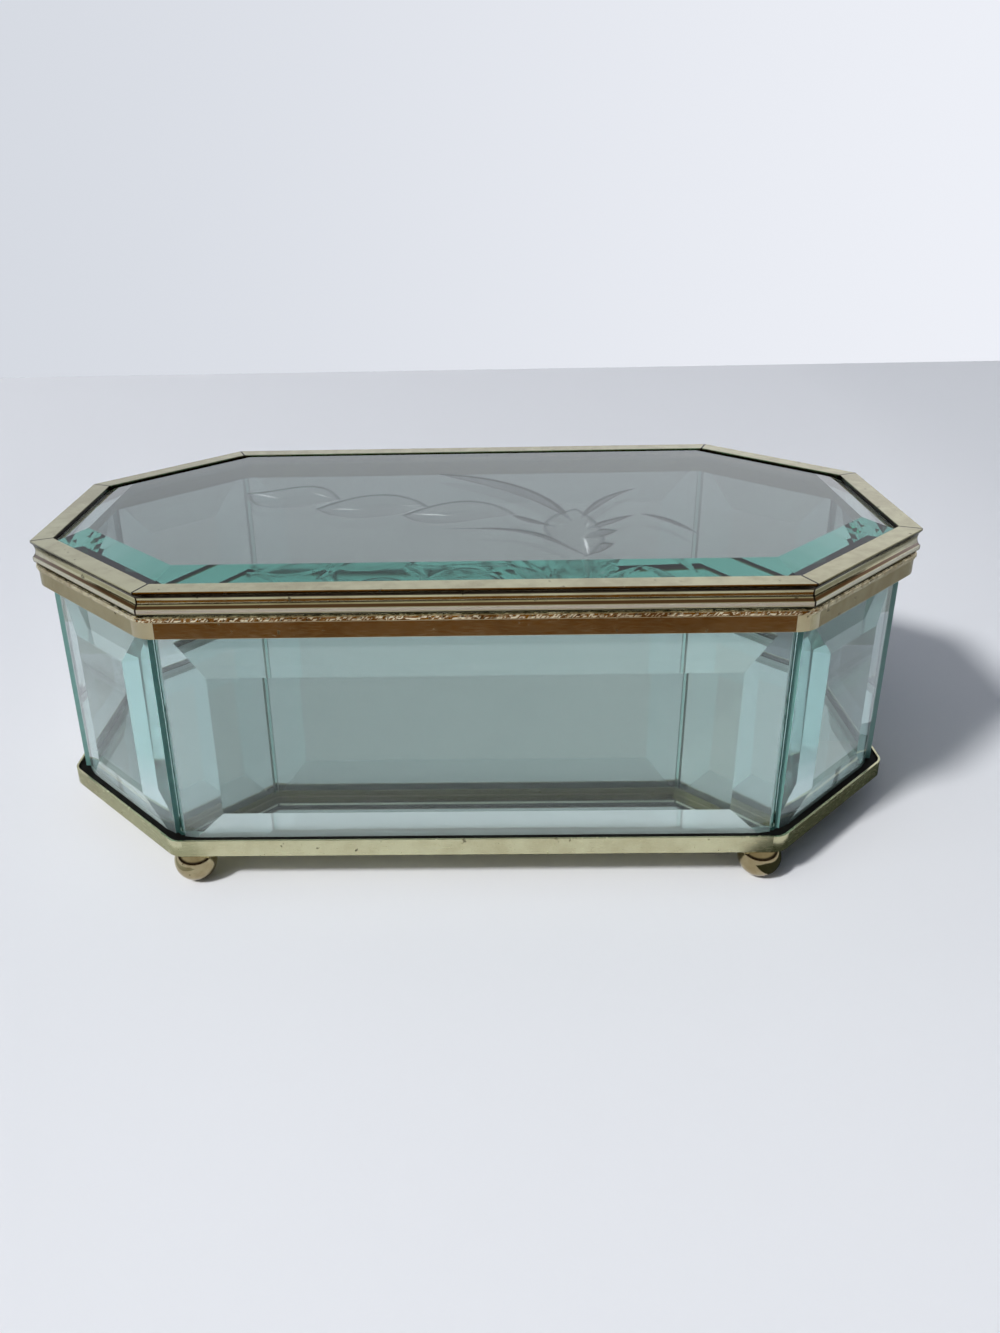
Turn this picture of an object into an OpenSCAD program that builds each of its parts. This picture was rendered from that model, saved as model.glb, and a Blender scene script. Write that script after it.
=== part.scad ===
// Glass casket box: an eight-sided box of bevelled glass panes set in brass.
// The panes stand in a sheet-brass tray on four ball feet and are capped by a
// folded brass rim. A mitred moulding holds the thick lid glass, and two stop
// hinges at the back carry the lid. Millimetres, +Z up, the front faces -Y.

/* [Outline] */
// Length of the eight-sided outline, along X
box_l = 200; // [170:1:240]
// Width of the eight-sided outline, along Y
box_w = 111.2; // [96:0.1:130]
// How far each corner is cut off along the two sides that meet there
corner_cut = 32.6; // [24:0.1:36]

/* [Feet] */
// Diameter of a ball foot
foot_d = 9.6; // [8:0.1:11]
// Height of the tray's underside above the table
foot_h = 8; // [6.5:0.1:9]
// Diameter of the flat that a foot rests on
foot_flat_d = 1.4; // [0.8:0.1:3]
// Distance of a foot's centre behind the front or back face
foot_inset = 4.2; // [2.6:0.1:6]
// Distance of a foot's centre from the end of the front or back face
foot_end = 3.9; // [3:0.1:10]

/* [Base tray] */
// Thickness of the tray's sheet
sheet_t = 0.5; // [0.4:0.05:0.8]
// Height of the tray with its upturned edge
tray_h = 4; // [3.5:0.1:7]
// Distance of the tray's outer face inside the outline
tray_inset = 0.45; // [0.3:0.05:0.6]
// Outer radius of the tray's bent corners
tray_corner_r = 4.5; // [3.5:0.1:6]
// Distance of the black putty's top below the tray's edge
putty_drop = 0.5; // [0.2:0.1:1]
// Depth to which the putty fills the corners between the panes
putty_reach = 3.8; // [3.5:0.1:4.5]

/* [Wall panes] */
// Thickness of the wall glass
pane_t = 4; // [3.7:0.1:4.4]
// Height of a wall pane
pane_h = 55; // [45:1:80]
// How much thinner a pane is at its bevelled edge
pane_bevel_depth = 1.8; // [1.5:0.1:2]
// Width of the bevel along a pane's two upright edges
pane_bevel_side = 9.7; // [6:0.1:11]
// Width of the bevel along a pane's lower edge
pane_bevel_bottom = 10; // [6:0.1:13]
// Width of the bevel along a pane's upper edge
pane_bevel_top = 12; // [6:0.1:14]
// Distance of the front, back and diagonal panes inside the outline
pane_inset = 1.5; // [1.4:0.1:1.8]
// Distance of the left and right panes inside the outline
end_pane_inset = 0.9; // [0.8:0.1:1.5]
// Width of a diagonal pane
diagonal_pane_w = 40; // [28:0.1:41]

/* [Mirror floor] */
// Thickness of the mirror that lies in the tray
mirror_t = 3.5; // [1.5:0.1:3.5]

/* [Rim] */
// Width of the crimped edge around the rim's top
rim_edge_w = 1.2; // [1:0.1:1.5]
// Height of the crimped edge
rim_edge_h = 1.2; // [1:0.1:1.5]
// Height of the crimped edge above the rim's web
rim_edge_rise = 0.5; // [0.4:0.05:0.6]
// Distance of the rim's outer face inside the outline
rim_face_inset = 0.3; // [0.25:0.05:0.4]
// Height of the rim's outer leg, below the top of the rim's web
rim_outer_h = 4.4; // [3.4:0.1:6]
// Height of the rim's inner leg, below the top of the rim's web
rim_inner_h = 4.2; // [4.1:0.1:8]
// Depth of the putty bed between the panes and the rim's web
rim_bed = 1.3; // [0.8:0.1:2]
// Outer radius of the rim's bent corners
rim_corner_r = 6.6; // [6.6:0.1:7.6]

/* [Lid frame] */
// Width of the lid's moulding
rail_w = 4.6; // [3.8:0.1:5]
// Height of the lid's moulding
rail_h = 5.2; // [5:0.1:6]
// Thickness of the moulding's upper lip
rail_lip_t = 0.9; // [0.7:0.05:1.1]
// Thickness of the moulding below the lid glass
rail_sill_t = 1.45; // [1.3:0.05:1.6]
// Thickness of the moulding outside the lid glass
rail_wall_t = 1.3; // [1.2:0.05:1.4]
// Depth of the hollow cove around the moulding
cove_depth = 0.75; // [0.5:0.05:0.9]
// Height of the hollow cove at the moulding's outer face
cove_h = 3.4; // [3:0.1:3.5]
// Height of the cove's lower edge above the moulding's underside
cove_rise = 1.3; // [1.2:0.05:1.4]
// Radius of the round edge under the cove
rail_bead_r = 0.55; // [0.4:0.05:0.6]

/* [Lid glass] */
// Thickness of the lid glass
lid_glass_t = 5; // [4.4:0.1:5.4]
// Width of the bevel around the lid glass
lid_bevel_w = 10.4; // [8:0.1:12]
// How much thinner the lid glass is at its bevelled edge
lid_bevel_depth = 3.2; // [3:0.05:3.4]

/* [Hinges] */
// Length of one hinge
hinge_l = 38; // [30:1:44]
// Distance of a hinge's centre from the middle of the box
hinge_x = 37.5; // [27:0.5:40]
// Number of knuckles in one hinge
knuckles = 5; // [3, 5, 7]
// Thickness of a hinge leaf
leaf_t = 0.4; // [0.35:0.05:0.6]
// Width of a hinge leaf between the rim and the moulding
leaf_w = 4.3; // [3:0.1:4.5]
// Outer diameter of the hinge barrel
barrel_d = 2.6; // [2.4:0.1:3]
// Diameter of the hinge pin
pin_d = 1.2; // [1:0.1:1.3]
// Diameter of the pin's two heads
pin_head_d = 1.9; // [1.6:0.1:2.2]
// Thickness of a pin head
pin_head_t = 0.6; // [0.4:0.1:1]
// Length of the stop tails on the lid's knuckles, from the pin's centre
tail_l = 3; // [2.6:0.1:3.6]
// Thickness of a stop tail
tail_t = 1; // [0.8:0.1:1.2]
// Height over which a stop tail slopes out from its barrel
tail_slope_h = 0.7; // [0.5:0.1:0.9]
// Angle at which the stop tails meet the rim
stop_angle = 100; // [90:1:110]

/* [Clearances] */
// Gap between the edges of neighbouring panes at a corner
corner_gap = 0.9; // [0.6:0.05:1.2]
// Gap between the panes and the mirror, and between the panes and the rim's inner leg
pane_gap = 0.1; // [0.05:0.05:0.2]
// Gap between the lid glass's edge and the moulding's groove
lid_glass_gap = 0.3; // [0.2:0.05:0.4]
// Gap left on each side of a mitre in the lid's moulding
mitre_gap = 0.06; // [0.03:0.01:0.1]
// Gap between the two leaves of a closed hinge
leaf_gap = 0.05; // [0.03:0.01:0.1]
// Gap between the hinge barrel and the outline
barrel_gap = 0.2; // [0.15:0.05:0.4]
// Gap between neighbouring knuckles
knuckle_gap = 0.2; // [0.1:0.05:0.3]
// Radial play of the pin in the lid's knuckles
pin_play = 0.05; // [0.02:0.01:0.08]
// Gap between a stop tail and the rim when the lid is fully open
tail_gap = 0.03; // [0.02:0.01:0.06]

/* [Hidden] */
$fn = 64;
// How far a cutting shape reaches past the part, or a tab into its plate
spare = 1;
// How far the sheet bulges where it is bent round a corner
bend_bulge = 0.01;

// Colours
brass = [0.72, 0.66, 0.47];
clear_glass = [0.62, 0.78, 0.75];
silver = [0.78, 0.82, 0.82];
putty = [0.06, 0.06, 0.06];
glue = [0.85, 0.88, 0.85];

// Sides are numbered anticlockwise from the front: 0 front, 1 front right,
// 2 right, 3 back right, 4 back, 5 back left, 6 left, 7 front left. Each has
// its own frame: x runs along the side, y inwards from the outline, z up.
side_turn = 45;
half_turn = side_turn / 2;
half_l = box_l / 2;
half_w = box_w / 2;
function is_diagonal(i) = i % 2 == 1;
function is_end(i) = i % 4 == 2;
function half_side(i) =
    is_diagonal(i) ? corner_cut / sqrt(2) : is_end(i) ? half_w - corner_cut : half_l - corner_cut;
function turned(p, a) = [p[0] * cos(a) - p[1] * sin(a), p[0] * sin(a) + p[1] * cos(a)];
function side_middle(i) =
    i == 0 ? [0, -half_w] :
    i == 1 ? [half_l - corner_cut / 2, corner_cut / 2 - half_w] :
    i == 2 ? [half_l, 0] :
    i == 3 ? [half_l - corner_cut / 2, half_w - corner_cut / 2] :
    -side_middle(i - 4);
function on_plan(i, p) = side_middle(i) + turned(p, side_turn * i);
function plan_corner(i, inset) = on_plan(i, [half_side(i) - inset * tan(half_turn), inset]);

// Heights, from the table up
tray_floor_z = foot_h + sheet_t;
tray_top_z = foot_h + tray_h;
putty_top_z = tray_top_z - putty_drop;
pane_top_z = tray_floor_z + pane_h;
web_low_z = pane_top_z + rim_bed;
web_top_z = web_low_z + sheet_t;
rim_edge_z = web_top_z + rim_edge_rise;
rim_low_z = web_top_z - rim_outer_h;
pin_z = web_top_z + leaf_t + leaf_gap / 2;
rail_z = web_top_z + 2 * leaf_t + leaf_gap;
rail_top_z = rail_z + rail_h;
lid_glass_z = rail_z + rail_sill_t;
lip_z = rail_top_z - rail_lip_t;

// Panes
function pane_inset_of(i) = is_end(i) ? end_pane_inset : pane_inset;
pane_edge_t = pane_t - pane_bevel_depth;
pane_inner = pane_inset + pane_t;
diagonal_setback = corner_cut / sqrt(2) - diagonal_pane_w / 2 - corner_gap;
function half_pane(i) =
    is_diagonal(i) ? diagonal_pane_w / 2 :
    half_side(i) - pane_inset_of(i) - pane_t + diagonal_setback * sqrt(2);

// Tray and rim: the tray's corners bend about tray_centre_inset; the rim's foot
// is turned in to rim_foot_inset and its inner leg ends at rim_w
tray_centre_inset = tray_inset + tray_corner_r;
rim_foot_inset = rim_face_inset + 2 * sheet_t;
rim_w = pane_inner + pane_gap + sheet_t;

// Lid glass
lid_edge_inset = rail_wall_t + lid_glass_gap;
lid_edge_t = lid_glass_t - lid_bevel_depth;

// Hinge: the pin's place, and the stop tail as it stands with the lid open,
// measured from the pin as [y, z]
pin_y = half_w + barrel_gap + barrel_d / 2;
knuckle_pitch = hinge_l / knuckles;
knuckle_w = knuckle_pitch - knuckle_gap;
tail_face = pin_y - (half_w - rim_face_inset) - tail_gap;
tail_root = 0.7 * barrel_d / 2;
open_tail = [
    [-tail_face, -tail_l], [tail_t - tail_face, -tail_l],
    [tail_root, -tail_root], [-tail_root, -tail_root],
    [-tail_face, -tail_root - tail_slope_h]
];
closed_tail = [for (p = open_tail) turned(p, stop_angle)];

// The origin lies on the table, under the middle of the closed box's bounding box
foot_x = half_l - corner_cut - foot_end;
foot_y = half_w - foot_inset;
front_reach = foot_y + foot_d / 2;
back_reach = pin_y + max([for (p = closed_tail) p[0]]);
origin_y = (back_reach - front_reach) / 2;

module placed() {
    translate([0, -origin_y, 0]) children();
}

module on_side(i) {
    translate(side_middle(i)) rotate(side_turn * i) children();
}

// Turns a section drawn as [y, z] into a bar along a side's x
module bar(length) {
    rotate([90, 0, 90]) translate([0, 0, -length / 2]) linear_extrude(length) children();
}

module octagon(inset) {
    polygon([for (i = [0 : 7]) plan_corner(i, inset)]);
}

// Half the straight stretch of a side whose bent corners turn about points at
// centre_inset
function half_straight(i, centre_inset) = half_side(i) - centre_inset * tan(half_turn);

// The octagon at an inset, with its corners bent about those points
module bent_octagon(inset, centre_inset) {
    polygon([
        for (i = [0 : 7]) for (end = [-1, 1])
            on_plan(i, [end * half_straight(i, centre_inset), inset])
    ]);
    for (i = [0 : 7]) translate(plan_corner(i, centre_inset)) circle(centre_inset - inset + bend_bulge);
}

// An upright wall that follows the outline from one inset to another
module bent_wall(outer, inner, centre_inset, low, high) {
    translate([0, 0, low]) linear_extrude(high - low) difference() {
        bent_octagon(outer, centre_inset);
        bent_octagon(inner, centre_inset);
    }
}

// Base tray and what lies in it

module base_tray() {
    color(brass) placed() difference() {
        translate([0, 0, foot_h]) linear_extrude(tray_h) bent_octagon(tray_inset, tray_centre_inset);
        translate([0, 0, tray_floor_z])
            linear_extrude(tray_h) bent_octagon(tray_inset + sheet_t, tray_centre_inset);
    }
}

module mirror_floor() {
    color(silver) placed()
        translate([0, 0, tray_floor_z]) linear_extrude(mirror_t) octagon(pane_inner + pane_gap);
}

module base_putty() {
    color(putty) placed() difference() {
        translate([0, 0, tray_floor_z]) linear_extrude(putty_top_z - tray_floor_z) difference() {
            bent_octagon(tray_inset + sheet_t, tray_centre_inset);
            octagon(putty_reach);
        }
        wall_panes();
    }
}

module foot(across, along) {
    r = foot_d / 2;
    centre_z = sqrt(r * r - foot_flat_d * foot_flat_d / 4);
    color(brass) placed() translate([across * foot_x, along * foot_y, 0]) intersection() {
        translate([0, 0, centre_z]) sphere(r);
        translate([-foot_d, -foot_d, 0]) cube([2 * foot_d, 2 * foot_d, foot_h]);
    }
}

module foot_front_left() { foot(-1, -1); }
module foot_front_right() { foot(1, -1); }
module foot_back_left() { foot(-1, 1); }
module foot_back_right() { foot(1, 1); }

// Wall panes: a flat inner face and a bevelled outer face

module pane_solid(i) {
    h = half_pane(i);
    inner = pane_t;
    edge = pane_bevel_depth;
    on_side(i) translate([0, pane_inset_of(i), tray_floor_z]) intersection() {
        linear_extrude(pane_h) polygon([
            [-h, inner], [h, inner], [h, edge], [h - pane_bevel_side, 0],
            [pane_bevel_side - h, 0], [-h, edge]
        ]);
        bar(2 * h) polygon([
            [inner, 0], [inner, pane_h], [edge, pane_h], [0, pane_h - pane_bevel_top],
            [0, pane_bevel_bottom], [edge, 0]
        ]);
    }
}

module wall_panes() {
    for (i = [0 : 7]) pane_solid(i);
}

module pane(i) {
    color(clear_glass) placed() pane_solid(i);
}

module pane_front() { pane(0); }
module pane_front_right() { pane(1); }
module pane_right() { pane(2); }
module pane_back_right() { pane(3); }
module pane_back() { pane(4); }
module pane_back_left() { pane(5); }
module pane_left() { pane(6); }
module pane_front_left() { pane(7); }

// A bead of clear glue in each corner, between the ends of two panes
module corner_glue() {
    color(glue) placed() translate([0, 0, putty_top_z])
        linear_extrude(rim_low_z + sheet_t - putty_top_z) for (i = [0 : 7]) {
            k = (i + 1) % 8;
            near = pane_inset_of(i) + pane_t;
            far = pane_inset_of(k) + pane_t;
            half_edge = pane_edge_t / 2;
            polygon([
                on_plan(i, [half_pane(i), near]),
                on_plan(i, [half_pane(i), near - half_edge]),
                on_plan(k, [-half_pane(k), far - half_edge]),
                on_plan(k, [-half_pane(k), far])
            ]);
        }
}

// Rim: folded sheet with an outer leg turned in at its foot, a thick crimped
// upper edge, a flat web and an inner leg

module rim_wall(outer, inner, low, high) {
    bent_wall(outer, inner, rim_corner_r, low, high);
}

module rim() {
    notch_l = hinge_l + 2 * knuckle_gap;
    color(brass) placed() difference() {
        union() {
            rim_wall(rim_face_inset, rim_foot_inset, rim_low_z, rim_low_z + sheet_t);
            rim_wall(rim_face_inset, rim_face_inset + sheet_t, rim_low_z, web_top_z);
            rim_wall(rim_face_inset, rim_w, web_low_z, web_top_z);
            rim_wall(rim_w - sheet_t, rim_w, web_top_z - rim_inner_h, web_top_z);
            rim_wall(0, rim_edge_w, rim_edge_z - rim_edge_h, rim_edge_z);
        }
        for (side = [-1, 1])
            translate([side * hinge_x - notch_l / 2, half_w - rim_edge_w - spare, web_top_z])
                cube([notch_l, rim_edge_w + 2 * spare, rim_edge_rise + spare]);
    }
}

module rim_putty() {
    color(putty) placed() difference() {
        rim_wall(rim_edge_w, rim_w - sheet_t, rim_low_z + sheet_t, web_low_z);
        wall_panes();
    }
}

// Lid frame: eight mitred lengths of a coved moulding, grooved for the glass

module rail_section() {
    cove_r = (cove_depth * cove_depth + cove_h * cove_h / 4) / (2 * cove_depth);
    cove_z = rail_z + cove_rise + cove_h / 2;
    difference() {
        union() {
            translate([0, rail_z + rail_bead_r]) square([rail_w, rail_h - rail_bead_r]);
            translate([rail_bead_r, rail_z]) square([rail_w - rail_bead_r, rail_h]);
            translate([rail_bead_r, rail_z + rail_bead_r]) circle(rail_bead_r);
        }
        translate([cove_depth - cove_r, cove_z]) circle(cove_r);
        translate([rail_wall_t, lid_glass_z]) square([rail_w, lip_z - lid_glass_z]);
    }
}

module rail(i) {
    spread = tan(half_turn);
    half = half_side(i) - mitre_gap;
    deep = rail_w + spare;
    color(brass) placed() on_side(i) intersection() {
        bar(2 * half_side(i)) rail_section();
        translate([0, 0, rail_z - spare]) linear_extrude(rail_h + 2 * spare) polygon([
            [-half - spread * spare, -spare], [half + spread * spare, -spare],
            [half - spread * deep, deep], [spread * deep - half, deep]
        ]);
    }
}

module lid_rail_front() { rail(0); }
module lid_rail_front_right() { rail(1); }
module lid_rail_right() { rail(2); }
module lid_rail_back_right() { rail(3); }
module lid_rail_back() { rail(4); }
module lid_rail_back_left() { rail(5); }
module lid_rail_left() { rail(6); }
module lid_rail_front_left() { rail(7); }

// Lid glass: a thick plate, bevelled on top along all eight edges, whose
// middle stands above the moulding

module lid_glass_solid() {
    long = box_l + box_w;
    diagonal_reach = (half_l + half_w - corner_cut) / sqrt(2);
    translate([0, 0, lid_glass_z]) intersection() {
        rotate(90) bevelled_bar(half_l - lid_edge_inset, long);
        bevelled_bar(half_w - lid_edge_inset, long);
        rotate(45) bevelled_bar(diagonal_reach - lid_edge_inset, long);
        rotate(-45) bevelled_bar(diagonal_reach - lid_edge_inset, long);
    }
}

module bevelled_bar(reach, length) {
    flat = reach - lid_bevel_w;
    bar(length) polygon([
        [-reach, 0], [reach, 0], [reach, lid_edge_t], [flat, lid_glass_t],
        [-flat, lid_glass_t], [-reach, lid_edge_t]
    ]);
}

module lid_glass() {
    color(clear_glass) placed() lid_glass_solid();
}

module lid_putty() {
    color(putty) placed() difference() {
        translate([0, 0, lid_glass_z]) linear_extrude(lip_z - lid_glass_z) difference() {
            octagon(rail_wall_t);
            octagon(rail_w - lid_glass_gap);
        }
        lid_glass_solid();
    }
}

// Hinges: the base leaf lies on the rim's web and the lid leaf under the
// moulding; the lid's knuckles carry the tails that stop the lid

function knuckle_x(n) = (n + 0.5) * knuckle_pitch - hinge_l / 2;

// One leaf with every second knuckle, starting at low_knuckle
module leaf(low_knuckle, leaf_z, bore_d) {
    plate_y = half_w - leaf_gap;
    difference() {
        union() {
            translate([-hinge_l / 2, half_w - leaf_w, leaf_z])
                cube([hinge_l, plate_y - half_w + leaf_w, leaf_t]);
            for (n = [low_knuckle : 2 : knuckles - 1]) {
                translate([knuckle_x(n) - knuckle_w / 2, plate_y - spare, leaf_z])
                    cube([knuckle_w, pin_y - plate_y + spare, leaf_t]);
                translate([knuckle_x(n), pin_y, pin_z]) rotate([0, 90, 0])
                    cylinder(h = knuckle_w, d = barrel_d, center = true);
            }
            children();
        }
        translate([0, pin_y, pin_z]) rotate([0, 90, 0])
            cylinder(h = hinge_l + 2 * spare, d = bore_d, center = true);
    }
}

module hinge_base_leaf(side) {
    color(brass) placed() translate([side * hinge_x, 0, 0]) leaf(0, web_top_z, pin_d);
}

module hinge_lid_leaf(side) {
    color(brass) placed() translate([side * hinge_x, 0, 0])
        leaf(1, web_top_z + leaf_t + leaf_gap, pin_d + 2 * pin_play)
            for (n = [1 : 2 : knuckles - 1])
                translate([knuckle_x(n), pin_y, pin_z]) bar(knuckle_w) polygon(closed_tail);
}

module hinge_pin(side) {
    shank = hinge_l - knuckle_gap;
    color(brass) placed() translate([side * hinge_x, pin_y, pin_z]) rotate([0, 90, 0]) union() {
        cylinder(h = shank, d = pin_d, center = true);
        for (end = [-1, 1])
            translate([0, 0, end * (shank + pin_head_t) / 2])
                cylinder(h = pin_head_t, d = pin_head_d, center = true);
    }
}

module hinge_base_leaf_left() { hinge_base_leaf(-1); }
module hinge_base_leaf_right() { hinge_base_leaf(1); }
module hinge_lid_leaf_left() { hinge_lid_leaf(-1); }
module hinge_lid_leaf_right() { hinge_lid_leaf(1); }
module hinge_pin_left() { hinge_pin(-1); }
module hinge_pin_right() { hinge_pin(1); }

base_tray();
mirror_floor();
base_putty();
foot_front_left();
foot_front_right();
foot_back_left();
foot_back_right();
pane_front();
pane_back();
pane_left();
pane_right();
pane_front_left();
pane_front_right();
pane_back_left();
pane_back_right();
corner_glue();
rim();
rim_putty();
hinge_base_leaf_left();
hinge_base_leaf_right();
hinge_pin_left();
hinge_pin_right();
hinge_lid_leaf_left();
hinge_lid_leaf_right();
lid_rail_front();
lid_rail_back();
lid_rail_left();
lid_rail_right();
lid_rail_front_left();
lid_rail_front_right();
lid_rail_back_left();
lid_rail_back_right();
lid_putty();
lid_glass();
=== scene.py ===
"""Glass casket box: finishes, engraved lid plate, crimped trim, light and camera.

Lengths are in metres. The front of the box faces -Y and its feet stand on Z = 0.
"""
from math import cos, radians, sin, sqrt, tan

import bpy
import numpy as np
from mathutils import Matrix, Vector


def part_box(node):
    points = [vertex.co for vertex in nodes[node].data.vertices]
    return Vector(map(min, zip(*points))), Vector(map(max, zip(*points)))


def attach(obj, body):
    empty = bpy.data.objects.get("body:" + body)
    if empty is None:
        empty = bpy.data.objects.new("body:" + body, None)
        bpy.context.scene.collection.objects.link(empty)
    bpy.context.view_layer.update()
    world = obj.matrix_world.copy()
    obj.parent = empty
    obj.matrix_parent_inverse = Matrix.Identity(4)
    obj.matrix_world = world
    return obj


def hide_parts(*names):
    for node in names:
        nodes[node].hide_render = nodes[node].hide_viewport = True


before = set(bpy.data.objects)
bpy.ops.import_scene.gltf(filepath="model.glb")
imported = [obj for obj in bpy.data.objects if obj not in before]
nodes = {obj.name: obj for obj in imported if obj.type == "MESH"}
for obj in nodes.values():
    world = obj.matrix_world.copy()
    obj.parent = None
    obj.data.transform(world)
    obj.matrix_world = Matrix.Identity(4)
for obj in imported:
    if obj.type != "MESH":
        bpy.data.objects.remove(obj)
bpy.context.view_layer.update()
MM = 0.001
SCENE = bpy.context.scene

# ---------------------------------------------------------------- outline of the box
# The rim fills the outline. The hinges stand out at the back, so the outline's middle
# lies a little in front of the frame's
rim_low, rim_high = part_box("rim")
HALF_L = rim_high.x
HALF_W = (rim_high.y - rim_low.y) / 2
FRONT_SHIFT = -(rim_high.y + rim_low.y) / 2
CORNER_CUT = 32.6 * MM
DIAGONAL_REACH = (HALF_L + HALF_W - CORNER_CUT) / sqrt(2)
EIGHTH_TURN = np.pi / 4


def outward(turn):
    """Unit vectors that point out of the box, turned anticlockwise from the front."""
    return np.stack([np.sin(turn), -np.cos(turn)], -1)


def octagon(inset):
    """Corners of the outline moved inwards: where neighbouring sides, each
    shifted by the inset along its normal, cross. Anticlockwise from the
    front side's left end."""
    normals = outward(np.arange(8) * EIGHTH_TURN)
    reach = np.array([HALF_W, DIAGONAL_REACH, HALF_L, DIAGONAL_REACH] * 2) - inset
    before, reach_before = np.roll(normals, 1, 0), np.roll(reach, 1)
    crossing = before[:, 0] * normals[:, 1] - before[:, 1] * normals[:, 0]
    x = (reach_before * normals[:, 1] - reach * before[:, 1]) / crossing
    y = (reach * before[:, 0] - reach_before * normals[:, 0]) / crossing
    return np.stack([x, y - FRONT_SHIFT], 1)


# ---------------------------------------------------------------- meshes
def mesh_piece(name, points, faces, material, body):
    """A new piece from points and faces, riding on a body."""
    mesh = bpy.data.meshes.new(name)
    mesh.from_pydata([tuple(p) for p in points], [], faces)
    mesh.materials.append(material)
    mesh.validate()
    piece = bpy.data.objects.new(name, mesh)
    SCENE.collection.objects.link(piece)
    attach(piece, body)
    return piece


def grid_faces(rows, columns, wrap_rows=False, wrap_columns=False):
    """Quads between neighbouring points of a grid whose points run row by row."""
    index = np.arange(rows * columns).reshape(rows, columns)
    if wrap_rows:
        index = np.concatenate([index, index[:1]], 0)
    if wrap_columns:
        index = np.concatenate([index, index[:, :1]], 1)
    corners = [index[:-1, :-1], index[:-1, 1:], index[1:, 1:], index[1:, :-1]]
    return np.stack([c.ravel() for c in corners], 1)


# ---------------------------------------------------------------- nodes of a material
def add(tree, kind, sockets=None, **settings):
    """A node with its settings, and its sockets given a value or a link."""
    node = tree.nodes.new("ShaderNode" + kind)
    for key, value in settings.items():
        setattr(node, key, value)
    for key, value in (sockets or {}).items():
        if isinstance(value, bpy.types.NodeSocket):
            tree.links.new(value, node.inputs[key])
        else:
            node.inputs[key].default_value = value
    return node


def new_material(name):
    """An empty material and its tree."""
    material = bpy.data.materials.new(name)
    material.use_nodes = True
    material.node_tree.nodes.clear()
    return material, material.node_tree


def finish_surface(tree, shader, volume=None):
    """The material's output, fed by its surface and perhaps by its depth."""
    links = {"Surface": shader.outputs[0]}
    if volume is not None:
        links["Volume"] = volume.outputs[0]
    add(tree, "OutputMaterial", links)


def place(tree, stretch=(1, 1, 1)):
    """Object coordinates, stretched along the axes."""
    where = add(tree, "TexCoord").outputs["Object"]
    return add(tree, "Mapping", {"Vector": where, "Scale": stretch}).outputs[0]


def axes(tree, kind="Object"):
    """The x, y and z of one kind of coordinates."""
    return add(tree, "SeparateXYZ", {0: add(tree, "TexCoord").outputs[kind]}).outputs


def noise(tree, vector, scale, detail=3.0, roughness=0.5):
    """Cloudy noise, 0.5 on average; scale is about how many clouds lie in a metre."""
    sockets = {"Vector": vector, "Scale": scale, "Detail": detail, "Roughness": roughness}
    return add(tree, "TexNoise", sockets).outputs["Fac"]


def ranged(tree, value, low, high, to_low, to_high):
    """A value between low and high, brought smoothly to another range."""
    sockets = {0: value, 1: low, 2: high, 3: to_low, 4: to_high}
    return add(tree, "MapRange", sockets, interpolation_type="SMOOTHSTEP").outputs[0]


def blend_colours(tree, factor, first, second):
    """The first colour where the factor is 0, the second where it is 1."""
    node = add(tree, "Mix", data_type="RGBA")
    for socket, value in zip((0, 6, 7), (factor, first, second)):
        if isinstance(value, bpy.types.NodeSocket):
            tree.links.new(value, node.inputs[socket])
        else:
            node.inputs[socket].default_value = value if socket == 0 else (*value, 1)
    return node.outputs[2]


def darker(colour, share):
    """A colour at a share of its strength."""
    return tuple(share * part for part in colour)


def calculate(tree, operation, *values):
    """The result of one sum on sockets or numbers."""
    return add(tree, "Math", dict(enumerate(values)), operation=operation).outputs[0]


def dot(tree, first, second):
    """The scalar product of two vectors."""
    return add(tree, "VectorMath", {0: first, 1: second}, operation="DOT_PRODUCT").outputs["Value"]


# ---------------------------------------------------------------- places on a piece
# Each of these shares is 1 at its place and 0 elsewhere.
UP = (0, 0, 1)
DOWN = (0, 0, -1)


def facing_share(tree, direction, share=0.9, both_ways=False):
    """Faces that look in a direction, or against it too: their normal's part along
    it is above the share."""
    along = dot(tree, add(tree, "TexCoord").outputs["Normal"], direction)
    if both_ways:
        along = calculate(tree, "ABSOLUTE", along)
    return calculate(tree, "GREATER_THAN", along, share)


def inside_share(tree):
    """Upright faces that look towards the box's middle: the level part of their
    place, times their normal, is well below zero."""
    at = add(tree, "TexCoord").outputs
    level = add(tree, "VectorMath", {0: at["Object"], 1: (1, 1, 0)}, operation="MULTIPLY").outputs[0]
    return calculate(tree, "LESS_THAN", dot(tree, at["Normal"], level), -10 * MM)


def band_share(tree, start, full, waning, end):
    """Heights from full to waning, fading in from start and out until end."""
    height = axes(tree)[2]
    above = ranged(tree, height, start, full, 0.0, 1.0)
    below = ranged(tree, height, waning, end, 1.0, 0.0)
    return calculate(tree, "MULTIPLY", above, below)


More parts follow.
